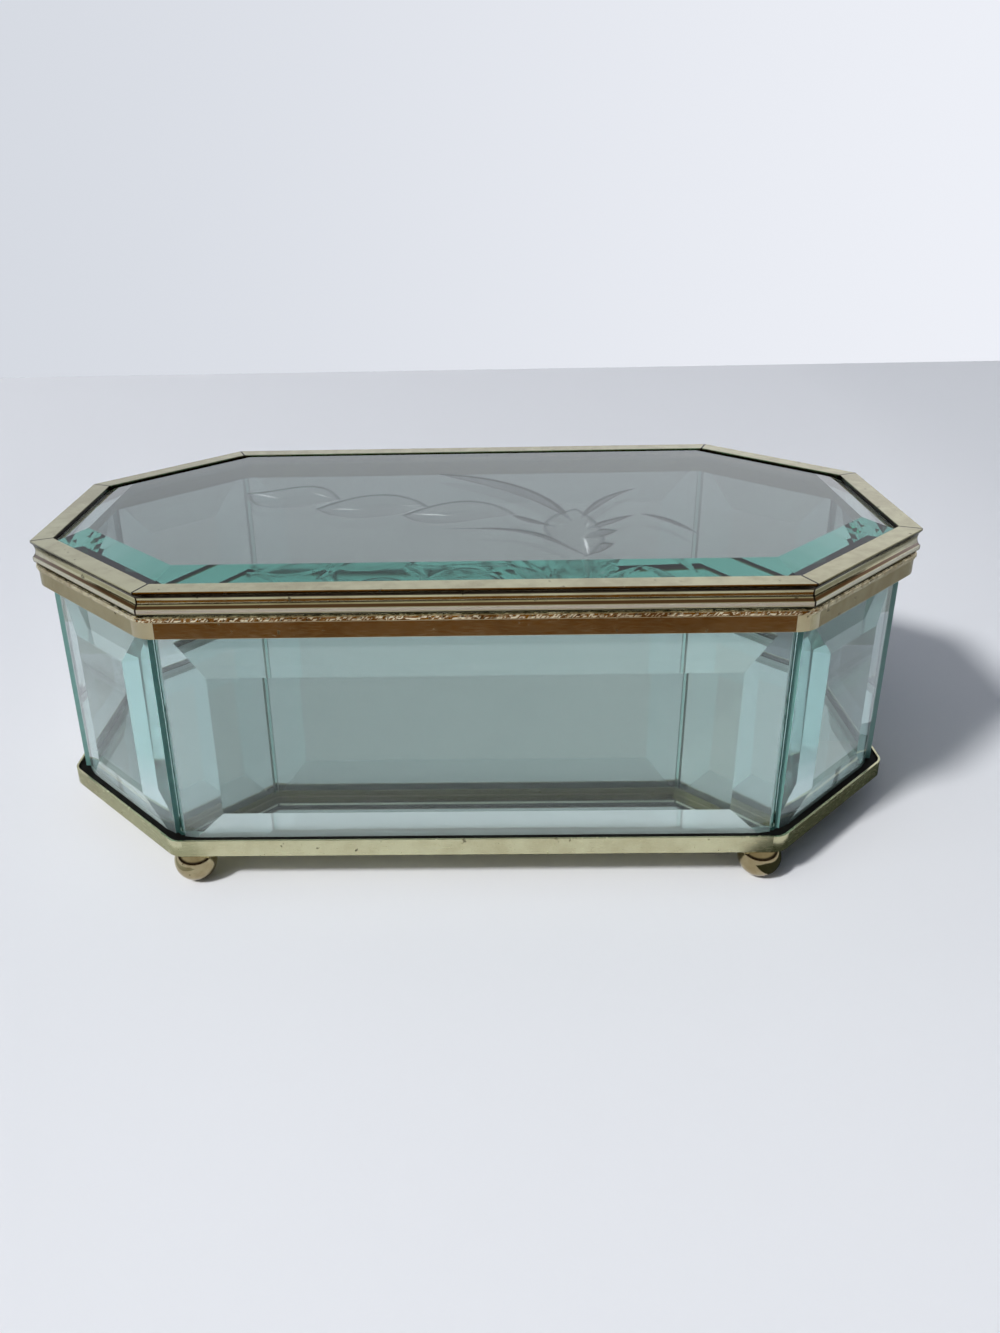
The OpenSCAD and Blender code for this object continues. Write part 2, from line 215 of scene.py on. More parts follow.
def mitre_share(tree, half_width):
    """The joints at the outline's eight corners. Mirrored into one quarter of the
    box, a place is held against the two corners' bisecting planes."""
    across, along, _ = axes(tree)
    x = calculate(tree, "ABSOLUTE", across)
    y = calculate(tree, "ABSOLUTE", calculate(tree, "ADD", along, FRONT_SHIFT))
    nearest = None
    corners = (
        (HALF_L - CORNER_CUT, HALF_W, 1.5 * EIGHTH_TURN),
        (HALF_L, HALF_W - CORNER_CUT, 0.5 * EIGHTH_TURN),
    )
    for corner_x, corner_y, turn in corners:
        offset = corner_y * cos(turn) - corner_x * sin(turn)
        away = calculate(tree, "MULTIPLY_ADD", x, sin(turn), offset)
        away = calculate(tree, "MULTIPLY_ADD", y, -cos(turn), away)
        away = calculate(tree, "ABSOLUTE", away)
        nearest = away if nearest is None else calculate(tree, "MINIMUM", nearest, away)
    return ranged(tree, nearest, half_width * 0.6, half_width, 1.0, 0.0)


def bevel_share(tree):
    """A wall pane's sloping faces. Its upright faces have normals along x or y, where
    one of the two is 1, or halfway between, where the two add up to 1.414."""
    facing_x, facing_y, _ = axes(tree, "Normal")
    x = calculate(tree, "ABSOLUTE", facing_x)
    y = calculate(tree, "ABSOLUTE", facing_y)
    straight = calculate(tree, "LESS_THAN", calculate(tree, "MAXIMUM", x, y), 0.993)
    diagonal = calculate(tree, "LESS_THAN", calculate(tree, "ADD", x, y), 1.405)
    return calculate(tree, "MINIMUM", straight, diagonal)


# ---------------------------------------------------------------- brass
MOULDING_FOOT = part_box("lid_rail_front")[0].z


def on_moulding(*heights):
    """Heights in millimetres above the moulding's foot, as places in the frame."""
    return tuple(MOULDING_FOOT + height * MM for height in heights)


# Where each band on the moulding starts, is full, wanes and ends
# A painted shade on the lip's edge, under the flange
LIP_SHADE = on_moulding(3.55, 3.75, 4.85, 5.0)
# A painted brown reflection band above the round edge
BROWN_REFLECTION_BAND = on_moulding(1.4, 1.5, 1.95, 2.05)
# A painted pale reflection on the round edge
PALE_REFLECTION_BAND = on_moulding(0.55, 0.65, 1.3, 1.4)
# The painted shade along the foot, at the gap above the rim, is full up to the first height and ends at
# the second
FOOT_SHADE = on_moulding(0.35, 0.45)
# How far from a mitre its dirt reaches
MITRE_DIRT = 0.28 * MM

# One dark colour for the dirt in the mitres and the painted shade on the lip and along the foot
DIRT_AND_SHADE_COLOUR = (0.035, 0.024, 0.014)
# The painted pale reflection on the round edge
PALE_REFLECTION_COLOUR = (0.86, 0.84, 0.74)
# The painted brown reflection above the round edge
BROWN_REFLECTION_COLOUR = (0.13, 0.07, 0.03)
# The darker olive of the rim's upright faces turned to the middle
INSIDE_OLIVE = (0.17, 0.155, 0.06)


def dirt_and_shade_share(tree):
    """The moulding's dark places: dirt in the mitres, and painted shade on the edge of the lip and
    outside along the foot, but not on the underside."""
    foot = ranged(tree, axes(tree)[2], *FOOT_SHADE, 1.0, 0.0)
    foot = calculate(tree, "SUBTRACT", foot, facing_share(tree, DOWN, 0.8))
    foot = calculate(tree, "MAXIMUM", foot, 0.0)
    edges = calculate(tree, "MAXIMUM", band_share(tree, *LIP_SHADE), foot)
    return calculate(tree, "MAXIMUM", mitre_share(tree, MITRE_DIRT), edges)


def brass(name, clean, tarnished, polish, dents=1.0, moulding=False, olive_inside=False):
    """Aged lacquered brass: slow drifts and small clouds of tarnish, dark specks, and
    fine level streaks that the roughness follows, up from its lowest, the polish.
    Clouds and streaks give the height, which the dents deepen.
    The moulding also has dirt in the mitres, painted shade on the edge of the lip and along the foot, a
    painted pale reflection on the round edge, which is also rougher, and a painted brown reflection band
    above that.
    With the flag for inside faces, the upright faces turned to the middle are a darker olive."""
    material, tree = new_material(name)
    where = place(tree)
    drift = noise(tree, where, 38)
    clouds = noise(tree, where, 240, detail=4, roughness=0.6)
    specks = noise(tree, where, 620, detail=2)
    streaks = noise(tree, place(tree, (1, 1, 9)), 420, roughness=0.6)
    speck_mask = ranged(tree, specks, 0.70, 0.76, 0.0, 0.8)
    tarnish = calculate(tree, "MULTIPLY_ADD", drift, 0.5, calculate(tree, "MULTIPLY", clouds, 0.5))
    colour = blend_colours(tree, ranged(tree, tarnish, 0.38, 0.64, 0.0, 1.0), clean, tarnished)
    colour = blend_colours(tree, speck_mask, colour, darker(tarnished, 0.3))
    rough = ranged(tree, streaks, 0.3, 0.75, polish, polish + 0.09)
    if moulding:
        # A painted pale reflection on the round edge, which is also made rougher
        pale_reflection = band_share(tree, *PALE_REFLECTION_BAND)
        colour = blend_colours(tree, pale_reflection, colour, PALE_REFLECTION_COLOUR)
        # A painted brown reflection band above the round edge
        colour = blend_colours(tree, band_share(tree, *BROWN_REFLECTION_BAND), colour, BROWN_REFLECTION_COLOUR)
        # Dirt in the mitres, and painted shade on the lip and along the foot
        colour = blend_colours(tree, dirt_and_shade_share(tree), colour, DIRT_AND_SHADE_COLOUR)
        rough = calculate(tree, "MULTIPLY_ADD", pale_reflection, 0.4, rough)
    # The upright faces turned to the middle are given a darker olive
    if olive_inside:
        colour = blend_colours(tree, inside_share(tree), colour, INSIDE_OLIVE)
    rough = calculate(tree, "MULTIPLY_ADD", speck_mask, 0.3, rough)
    height = calculate(tree, "MULTIPLY_ADD", clouds, 2.0, calculate(tree, "MULTIPLY", streaks, 0.12))
    bump = add(tree, "Bump", {"Strength": 0.25 * dents, "Distance": 0.03 * MM, "Height": height})
    finish_surface(tree, add(tree, "BsdfPrincipled", {
        "Base Color": colour, "Metallic": 1.0, "Roughness": rough, "Normal": bump.outputs[0],
    }))
    return material


# ---------------------------------------------------------------- glass, putty and glue
GLASS_IOR = 1.52
GLASS_DEPTH_TINT = (0.25, 0.72, 0.64, 1)
GLASS_DEPTH_DENSITY = 19.0
GLASS_FACE = (0.66, 0.685, 0.67)
# Pale colours painted on the bevels, a painted sheen, the lower bevels paler still
BEVEL_SHEEN = (0.78, 0.91, 0.92)
LOW_BEVEL_SHEEN = (0.9, 0.98, 0.98)
LID_FACE = (0.35, 0.375, 0.358)
GLUED_FACE = (0.18, 0.37, 0.34)
# The white of the painted glints on the engraving
GLINT_COLOUR = (0.85, 0.88, 0.88)
SILVER_COLOUR = (0.86, 0.9, 0.88)
MIRROR_EDGE = ((0.76, 0.88, 0.87), (0.84, 0.95, 0.94))
GLUE_COLOUR = (0.42, 0.62, 0.58, 1)
PUTTY_COLOURS = ((0.002, 0.002, 0.002), (0.006, 0.006, 0.005))
ENGRAVING = ("frost", "shade", "painted_glint")


def green_glass(tree, sockets):
    """Clear glass with the colour that its depth takes out."""
    shader = add(tree, "BsdfPrincipled", {"IOR": GLASS_IOR, "Transmission Weight": 1.0, **sockets})
    depth = add(tree, "VolumeAbsorption", {"Color": GLASS_DEPTH_TINT, "Density": GLASS_DEPTH_DENSITY})
    finish_surface(tree, shader, depth)


def wall_glass(name, glued, both_ends=False):
    """Glass whose polished bevels are painted paler and partly matt, a painted sheen, the lower ones
    most.
    The ends that look in the glued direction are ground and green."""
    material, tree = new_material(name)
    bevel = bevel_share(tree)
    low = calculate(tree, "MULTIPLY", bevel, facing_share(tree, DOWN, 0.03))
    end = facing_share(tree, glued, both_ways=both_ends)
    grain = noise(tree, place(tree), 300)
    # The bevels are painted paler and less clear, a painted sheen, the lower ones most
    colour = blend_colours(tree, bevel, GLASS_FACE, BEVEL_SHEEN)
    colour = blend_colours(tree, low, colour, LOW_BEVEL_SHEEN)
    clear = calculate(tree, "MULTIPLY_ADD", bevel, -0.1, 1.0)
    clear = calculate(tree, "MULTIPLY_ADD", end, -0.75, clear)
    ground = blend_colours(tree, grain, GLUED_FACE, darker(GLUED_FACE, 0.85))
    green_glass(tree, {
        "Base Color": blend_colours(tree, end, colour, ground),
        "Roughness": calculate(tree, "MULTIPLY", end, 0.3),
        "Transmission Weight": calculate(tree, "MULTIPLY_ADD", low, -0.2, clear),
    })
    return material


def engraved_glass(name):
    """The lid's glass, darker on its flat top. Where frost is 1 it is ground, where
    shade is 1 it is dark, and where the glint mark is 1 a white glint is painted."""
    material, tree = new_material(name)
    frost, shade, painted_glint = (
        add(tree, "Attribute", attribute_name=part).outputs["Fac"] for part in ENGRAVING
    )
    colour = blend_colours(tree, facing_share(tree, UP, 0.99), GLASS_FACE, LID_FACE)
    colour = blend_colours(tree, shade, colour, darker(LID_FACE, 0.12))
    # The painted glints, and the frost a little, are partly matt white
    white = calculate(tree, "MULTIPLY_ADD", painted_glint, 0.38, calculate(tree, "MULTIPLY", frost, 0.03))
    grain = noise(tree, place(tree), 2600, detail=2)
    green_glass(tree, {
        "Base Color": blend_colours(tree, painted_glint, colour, GLINT_COLOUR),
        "Roughness": calculate(tree, "MULTIPLY", frost, ranged(tree, grain, 0.3, 0.7, 0.05, 0.09)),
        "Transmission Weight": calculate(tree, "SUBTRACT", 1.0, white),
    })
    return material


def back_silvered(name, silver_z):
    """Clear glass that is silvered below a height and whose edge is ground pale."""
    material, tree = new_material(name)
    silver = calculate(tree, "LESS_THAN", axes(tree)[2], silver_z)
    level = facing_share(tree, UP, 0.5, both_ways=True)
    edge = calculate(tree, "SUBTRACT", 1.0, level)
    grain = noise(tree, place(tree), 1500)
    colour = blend_colours(tree, silver, (1.0, 1.0, 1.0), SILVER_COLOUR)
    green_glass(tree, {
        "Base Color": blend_colours(tree, edge, colour, blend_colours(tree, grain, *MIRROR_EDGE)),
        "Roughness": calculate(tree, "MULTIPLY", edge, 0.5),
        "Metallic": calculate(tree, "MULTIPLY", silver, level),
        "Transmission Weight": calculate(tree, "MULTIPLY_ADD", edge, -0.95, 1.0),
    })
    return material


def black_putty():
    """Old black putty, matt and a little lumpy."""
    material, tree = new_material("black_putty")
    lumps = noise(tree, place(tree), 900)
    bump = add(tree, "Bump", {"Strength": 0.5, "Distance": 0.1 * MM, "Height": lumps})
    finish_surface(tree, add(tree, "BsdfPrincipled", {
        "Base Color": blend_colours(tree, lumps, *PUTTY_COLOURS), "Specular IOR Level": 0.12,
        "Roughness": ranged(tree, lumps, 0.3, 0.7, 0.6, 0.8), "Normal": bump.outputs[0],
    }))
    return material


def clear_glue():
    """Clear glue with a slow ripple, tinted by the glass round it."""
    material, tree = new_material("clear_glue")
    ripple = noise(tree, place(tree), 500, detail=2)
    bump = add(tree, "Bump", {"Strength": 0.2, "Distance": 0.05 * MM, "Height": ripple})
    finish_surface(tree, add(tree, "BsdfPrincipled", {
        "Base Color": GLUE_COLOUR, "IOR": GLASS_IOR, "Transmission Weight": 1.0,
        "Roughness": ranged(tree, ripple, 0.3, 0.7, 0.0, 0.04), "Normal": bump.outputs[0],
    }))
    return material


# ---------------------------------------------------------------- finishes of the solids
SILVER_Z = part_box("mirror_floor")[0].z + 0.1 * MM
DIAGONAL = sqrt(0.5)

moulding_brass = brass("moulding_brass", (0.54, 0.51, 0.32), (0.42, 0.38, 0.23), 0.13, moulding=True)
rim_brass = brass("rim_brass", (0.45, 0.39, 0.24), (0.35, 0.28, 0.15), 0.14, olive_inside=True)
trim_brass = brass("trim_brass", (0.80, 0.72, 0.50), (0.34, 0.25, 0.14), 0.12, dents=2.0)
tray_brass = brass("tray_brass", (0.64, 0.62, 0.40), (0.54, 0.50, 0.31), 0.2)
foot_brass = brass("foot_brass", (0.48, 0.42, 0.26), (0.33, 0.26, 0.14), 0.07)
hinge_brass = brass("hinge_brass", (0.52, 0.45, 0.29), (0.38, 0.31, 0.19), 0.2)
long_glass = wall_glass("long_wall_glass", (1, 0, 0), both_ends=True)
end_glass = wall_glass("end_wall_glass", (0, 1, 0), both_ends=True)
rising_glass = wall_glass("rising_wall_glass", (-DIAGONAL, -DIAGONAL, 0))
falling_glass = wall_glass("falling_wall_glass", (DIAGONAL, -DIAGONAL, 0))
lid_glass = engraved_glass("lid_glass")
mirror_glass = back_silvered("mirror_glass", SILVER_Z)
putty = black_putty()
glue = clear_glue()

# A node gets the finish of the first of these that its name starts with
FINISHES = (
    ("lid_rail", moulding_brass), ("rim_putty", putty), ("rim", rim_brass),
    ("base_tray", tray_brass), ("foot_", foot_brass), ("hinge_", hinge_brass),
    ("pane_front_left", falling_glass), ("pane_back_right", falling_glass),
    ("pane_front_right", rising_glass), ("pane_back_left", rising_glass),
    ("pane_left", end_glass), ("pane_right", end_glass), ("pane_", long_glass),
    ("lid_glass", lid_glass), ("mirror_floor", mirror_glass),
    ("base_putty", putty), ("lid_putty", putty), ("corner_glue", glue),
)
# How wide the edges of the brass pieces are rounded, where faces meet above an angle
ROUNDING = {
    "lid_rail": 0.16 * MM, "rim": 0.12 * MM, "base_tray": 0.12 * MM,
    "foot_": 0.1 * MM, "hinge_": 0.08 * MM,
}
ROUNDED_ANGLE = radians(28)
# Glass, putty and glue are drawn in a hair, so that no two of their faces share a
# plane, and their edges above an angle are split, so that they look sharp
CLEARANCE = 0.02 * MM
SHARP_ANGLE = radians(4)
# The solids' triangles are joined where their points lie this close together
WELD = 0.002 * MM

for name, piece in nodes.items():
    prefix, finish = next(pair for pair in FINISHES if name.startswith(pair[0]))
    piece.data.materials.clear()
    piece.data.materials.append(finish)
    weld = piece.modifiers.new("weld", "WELD")
    weld.merge_threshold = WELD
    if prefix in ROUNDING:
        rounding = piece.modifiers.new("rounding", "BEVEL")
        rounding.width = ROUNDING[prefix]
        rounding.segments = 2
        rounding.limit_method = "ANGLE"
        rounding.angle_limit = ROUNDED_ANGLE
    else:
        clearance = piece.modifiers.new("clearance", "DISPLACE")
        clearance.mid_level = 0.0
        clearance.strength = -CLEARANCE
        facets = piece.modifiers.new("facets", "EDGE_SPLIT")
        facets.split_angle = SHARP_ANGLE

# ---------------------------------------------------------------- engraved lid plate
plate_low, plate_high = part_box("lid_glass")
# How far in from the outline the plate's edge and its bevel's upper line lie
PLATE_INSET = HALF_L - plate_high.x
BEVEL_INSET = 12.0 * MM
# How high the ground edge is
EDGE_HEIGHT = 1.8 * MM
# The engraved field's corners, from the lid's middle, and the spacing of its points
CELL = 0.34 * MM
FIELD_LOW = np.array([-59.0, -42.8]) * MM
FIELD_HIGH = np.array([51.0, 26.0]) * MM

# Each engraved shape: one tip, two control points of the edge that runs to the other
# tip, that tip, two control points of the edge that runs back, and how dark it is.
# Millimetres, seen from above, with the middle of the lid at 0, 0.
SHAPES = (
    ((-56.5, 8.5), (-48, 8), (-39, 25), (-32, 1.5), (-40, -5), (-53, -12), 0.2),
    ((-37.5, -6), (-31, 4), (-19, 14), (-10, -5.7), (-20, -15), (-31, -17), 0.24),
    ((-16.6, -12), (-10, -3), (2, 8), (10.5, -12.7), (0, -15), (-9, -25), 0.3),
    ((9, -12.5), (12, -13), (15, -18), (20, -22), (14, -21), (10, -17), 0.75),
    ((-8, -22.5), (8, -21), (16, -20), (24, -42), (13, -25), (10, -22.5), 0.6),
    ((-9.5, 23.5), (6, 22), (22, 6), (23, -20), (15, 4), (1, 13), 0.7),
    ((41.5, 8), (32, 4), (27, -5), (24, -18), (30, -8), (34, 1), 0.6),
    ((38.3, -13.3), (33, -15), (28, -18), (25, -24), (31, -23), (34, -17), 0.6),
    ((32.3, -25), (30, -23), (27, -22), (24, -30), (28, -31), (31, -27), 0.6),
    ((30.5, -34), (28.5, -32), (26, -31), (24, -41), (27, -40), (29, -37), 0.55),
    ((24.5, -8.3), (14, -14), (12, -28), (24, -42), (33, -32), (28, -14), 0.2),
    ((38.5, -13.2), (43, -13.5), (47, -17.5), (49.5, -29), (45, -21), (42, -17), 0.8),
)
# The painted white glints on the cuts: three control points of a bent middle line
# and the half width.
GLINTS = (
    ((-55.8, 8.2), (-50.7, 5.8), (-47.6, 3.1), 0.5), ((-40.5, 8.6), (-37.5, 5.6), (-34.1, 2.2), 0.4),
    ((-36.8, -4.8), (-35.2, -1.5), (-33.4, 0.6), 0.3), ((-33.8, -6.3), (-30.3, -6.1), (-26, -7), 0.5),
    ((-17.8, -4.2), (-15.4, -4.1), (-12.5, -4.7), 0.3), ((-15.8, -10.8), (-14.2, -8.2), (-12, -6.2), 0.3),
    ((-15, -10.6), (-10, -11.3), (-3.5, -12.8), 0.55), ((19.8, -19.6), (20.1, -20), (20.4, -20.6), 0.4),
    ((26.4, -18.4), (26.2, -20), (25.2, -23.5), 0.3), ((24.1, -27.5), (24.6, -34), (24, -41.5), 0.5),
)
CUT_DEEP = 0.05 * MM
EDGE_STEPS = 24
GLINT_STEPS = 60


def depth_inside(x, y, outline):
    """How far each point lies inside a shape; negative outside. Each edge is
    (1-t)^3 a + 3t(1-t)^2 b + 3t^2(1-t) c + t^3 d; the depth is the distance to the
    nearest edge, and a point is inside where the outline winds round it."""
    t = np.linspace(0, 1, EDGE_STEPS, endpoint=False)[:, None]
    a, b, c, d, e, f = np.array(outline) * MM
    edges = [
        (1 - t) ** 3 * p + 3 * t * (1 - t) ** 2 * q + 3 * t**2 * (1 - t) * r + t**3 * s
        for p, q, r, s in ((a, b, c, d), (d, e, f, a))
    ]
    start = np.concatenate(edges)
    step = np.roll(start, -1, 0) - start
    dx, dy = x[..., None] - start[:, 0], y[..., None] - start[:, 1]
    share = np.clip((dx * step[:, 0] + dy * step[:, 1]) / (step**2).sum(1), 0, 1)
    distance = np.hypot(dx - share * step[:, 0], dy - share * step[:, 1]).min(-1)
    left = step[:, 0] * dy - step[:, 1] * dx > 0
    rises = (dy >= 0) & (dy < step[:, 1]) & left
    falls = (dy < 0) & (dy >= step[:, 1]) & ~left
    return np.where(rises.sum(-1) != falls.sum(-1), distance, -distance)


def glint_inside(x, y, path, half_width):
    """How far each point lies inside a painted glint; negative outside. The middle line is
    (1-t)^2 a + 2t(1-t) b + t^2 c and its half width is w sin(pi t)."""
    t = np.linspace(0.01, 0.99, GLINT_STEPS)
    a, b, c = (np.array(p) * MM for p in path)
    line = np.outer((1 - t) ** 2, a) + np.outer(2 * t * (1 - t), b) + np.outer(t**2, c)
    width = half_width * MM * np.sin(np.pi * t)
    return (width - np.hypot(x[..., None] - line[:, 0], y[..., None] - line[:, 1])).max(-1)


def eased(value, low, high):
    """0 below low, 1 above high, and 3s^2 - 2s^3 between them."""
    share = np.clip((value - low) / (high - low), 0, 1)
    return share * share * (3 - 2 * share)


def engraved_field():
    """The engraved part of the lid's top: heights below the flat, and for each
    point how ground, how dark and how bright with painted glints it is. All of them ease in over the
    depth inside the shapes, and the heights run out to nothing at the field's edge."""
    count = np.round((FIELD_HIGH - FIELD_LOW) / CELL).astype(int) + 1
    x = np.linspace(FIELD_LOW[0], FIELD_HIGH[0], count[0])
    y = np.linspace(FIELD_LOW[1], FIELD_HIGH[1], count[1])
    gx, gy = np.meshgrid(x, y)
    depths = [depth_inside(gx, gy, outline) for *outline, _ in SHAPES]
    inside = np.max(depths, 0)
    bright = np.max([glint_inside(gx, gy, path, wide) for *path, wide in GLINTS], 0)
    frost = eased(inside, -0.1 * MM, 0.3 * MM)
    edge_line = frost * (1 - eased(inside, 0.5 * MM, 1.6 * MM))
    fill = np.max([eased(d, 0, 0.4 * MM) * dark for d, (*_, dark) in zip(depths, SHAPES)], 0)
    shade = np.clip(fill + 0.5 * edge_line, 0, 1)
    # Where the painted white glints lie
    painted_glint = eased(bright, -0.1 * MM, 0.3 * MM)
    depth = CUT_DEEP * eased(inside, -0.2 * MM, 1.4 * MM)
    edge = np.minimum.reduce([gx - gx.min(), gx.max() - gx, gy - gy.min(), gy.max() - gy])
    depth *= np.clip(edge / (2 * CELL), 0, 1)
    return gx, gy, depth, (frost, shade, painted_glint)


def engraved_plate():
    """The lid glass: octagons at the underside, the ground edge, the bevel's
    upper line and, inside that, the engraved field as a grid of heights."""
    gx, gy, depth, marks = engraved_field()
    low, top = plate_low.z, plate_high.z
    rings = [(PLATE_INSET, low), (PLATE_INSET, low + EDGE_HEIGHT), (BEVEL_INSET, top)]
    ring_points = [np.column_stack([octagon(inset), np.full(8, z)]) for inset, z in rings]
    field = np.column_stack([gx.ravel(), gy.ravel() - FRONT_SHIFT, top - depth.ravel()])
    points = np.concatenate(ring_points + [field])
    faces = [list(range(7, -1, -1))] + grid_faces(len(rings), 8, wrap_columns=True).tolist()
    start = 8 * len(rings)
    ring = start - 8
    index = start + np.arange(gx.size).reshape(gx.shape)
    # The flat round the field, side by side: a strip along a long side of the top ring,
    # and a triangle from the cut corner that follows to the field's corner
    field_sides = (index[0, ::-1], index[::-1, -1], index[-1], index[:, 0])
    for corner, side in zip(range(0, 8, 2), field_sides):
        after = (corner + 2) % 8
        faces.append([ring + corner, ring + corner + 1, *side.tolist()])
        faces.append([ring + corner + 1, ring + after, side[0]])
    faces += (grid_faces(*gx.shape) + start).tolist()
    plate = mesh_piece("lid_plate", points, faces, lid_glass, "lid")
    for part, values in zip(ENGRAVING, marks):
        attribute = plate.data.attributes.new(part, "FLOAT", "POINT")
        attribute.data.foreach_set("value", np.concatenate([np.zeros(start), values.ravel()]))
    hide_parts("lid_glass")


engraved_plate()

# ---------------------------------------------------------------- crimped trim
# The bead's middle lies this far in from the rim's outer faces and below its top
TRIM_SEAT = 0.6 * MM
TRIM_HALF = 0.66 * MM
TRIM_STEP = 0.34 * MM
TRIM_BEND = 5.0 * MM
TRIM_SIDES = 12
DENT_DEEP = 0.16 * TRIM_HALF


def rounded_path(inset, bend, step):
    """Points and outward normals round the outline at an inset, in even steps,
    with each corner turned on a circle of radius bend."""
    corners = octagon(inset)
    ahead = np.roll(corners, -1, 0) - corners
    length = np.hypot(*ahead.T)
    ahead = ahead / length[:, None]
    cut = bend * tan(EIGHTH_TURN / 2)
    places, turns = [], []
    for i in range(8):
        turn = i * EIGHTH_TURN
        run = length[i] - 2 * cut
        straight = np.arange(0, 1, step / run)[:, None]
        places.append(corners[i] + ahead[i] * (cut + straight * run))
        turns.append(np.full(len(straight), turn))
        turned = turn + np.arange(0, 1, step / (bend * EIGHTH_TURN)) * EIGHTH_TURN
        centre = corners[i] + ahead[i] * (length[i] - cut) - outward(turn) * bend
        places.append(centre + outward(turned) * bend)
        turns.append(turned)
    return np.concatenate(places), outward(np.concatenate(turns))


def crimped_trim():
    """A squarish bead, |u|^4 + |v|^4 = 1, carried round the rim, with uneven
    dents pressed in across it at the spacing of a crimping wheel."""
    path, normal = rounded_path(TRIM_SEAT, TRIM_BEND, TRIM_STEP)
    around = np.linspace(0, 2 * np.pi, TRIM_SIDES, endpoint=False)
    u, v = np.cos(around), np.sin(around)
    swell = (np.abs(u) ** 4 + np.abs(v) ** 4) ** -0.25
    rng = np.random.default_rng(seed=11)
    dents = rng.normal(0, 1, (len(path), TRIM_SIDES))
    dents = (dents + np.roll(dents, 1, 0) + np.roll(dents, 1, 1)) / 3
    size = TRIM_HALF * swell + DENT_DEEP * np.clip(dents, -1.6, 0.5)
    points = np.concatenate([
        path[:, None] + normal[:, None] * (size * u)[..., None],
        (rim_high.z - TRIM_SEAT + size * v)[..., None],
    ], 2).reshape(-1, 3)
    faces = grid_faces(len(path), TRIM_SIDES, wrap_rows=True, wrap_columns=True).tolist()
    mesh_piece("crimped_trim", points, faces, trim_brass, "base")


crimped_trim()

# ---------------------------------------------------------------- floor, wall and cards
STAGE_REACH = 3.0
WALL_Y = 0.575
WALL_TOP = 2.0
CARD_Z = 2 * MM
FLOOR_COLOURS = ((0.79, 0.805, 0.84), (0.64, 0.66, 0.70))
WALL_COLOURS = ((0.66, 0.69, 0.75), (0.86, 0.88, 0.94))
WALL_MATT = (0.4, 0.4, 0.42, 1)


def stage_card(name, corners, material):
    """A flat piece of the stage."""
    mesh = bpy.data.meshes.new(name)
    mesh.from_pydata(corners, [], [list(range(len(corners)))])
    mesh.materials.append(material)
    card = bpy.data.objects.new(name, mesh)
    SCENE.collection.objects.link(card)
    return card


def matt(name, colour):
    """Card that shows its colour by the light on it."""
    material, tree = new_material(name)
    finish_surface(tree, add(tree, "BsdfDiffuse", {"Color": (*colour, 1)}))
    return material


def glowing(name, colour):
    """Card that glows with its colour, though it is no lamp, so that it shows in the shadow too: painted
    light.
    """
    material, tree = new_material(name)
    finish_surface(tree, add(tree, "Emission", {"Color": (*colour, 1), "Strength": 1.0}))
    return material


def floor_cloth():
    """A pale matt floor, a little darker towards the back and both sides."""
    material, tree = new_material("pale_floor")
    x, y, _ = axes(tree)
    back = ranged(tree, y, -0.1, 0.4, 0.0, 0.8)
    right = ranged(tree, x, 0.05, 0.3, 0.0, 1.0)
    left = ranged(tree, x, -0.22, -0.03, 0.8, 0.0)
    share = calculate(tree, "MAXIMUM", back, calculate(tree, "MAXIMUM", left, right))
    colour = blend_colours(tree, share, *FLOOR_COLOURS)
    finish_surface(tree, add(tree, "BsdfDiffuse", {"Color": colour}))
    return material


def backdrop():
    """A wall that looks evenly bright, a little darker towards the left, and
    throws back less light than it shows."""
    material, tree = new_material("pale_wall")
    ray = add(tree, "LightPath").outputs
    seen = calculate(tree, "MAXIMUM", ray["Is Camera Ray"], ray["Is Glossy Ray"])
    seen = calculate(tree, "MAXIMUM", seen, ray["Is Transmission Ray"])
    colour = blend_colours(tree, ranged(tree, axes(tree)[0], -0.5, 0.5, 0.0, 1.0), *WALL_COLOURS)
    shown = add(tree, "Emission", {"Color": colour, "Strength": 1.0})
    plain = add(tree, "BsdfDiffuse", {"Color": WALL_MATT})
    finish_surface(tree, add(tree, "MixShader", {0: seen, 1: plain.outputs[0], 2: shown.outputs[0]}))
    return material


floor_corners = [
    (-STAGE_REACH, -STAGE_REACH, 0), (STAGE_REACH, -STAGE_REACH, 0),
    (STAGE_REACH, STAGE_REACH, 0), (-STAGE_REACH, STAGE_REACH, 0),
]
wall_corners = [
    (-STAGE_REACH, WALL_Y, 0), (STAGE_REACH, WALL_Y, 0),
    (STAGE_REACH, WALL_Y, WALL_TOP), (-STAGE_REACH, WALL_Y, WALL_TOP),
]
stage_card("floor", floor_corners, floor_cloth())
stage_card("wall", wall_corners, backdrop())

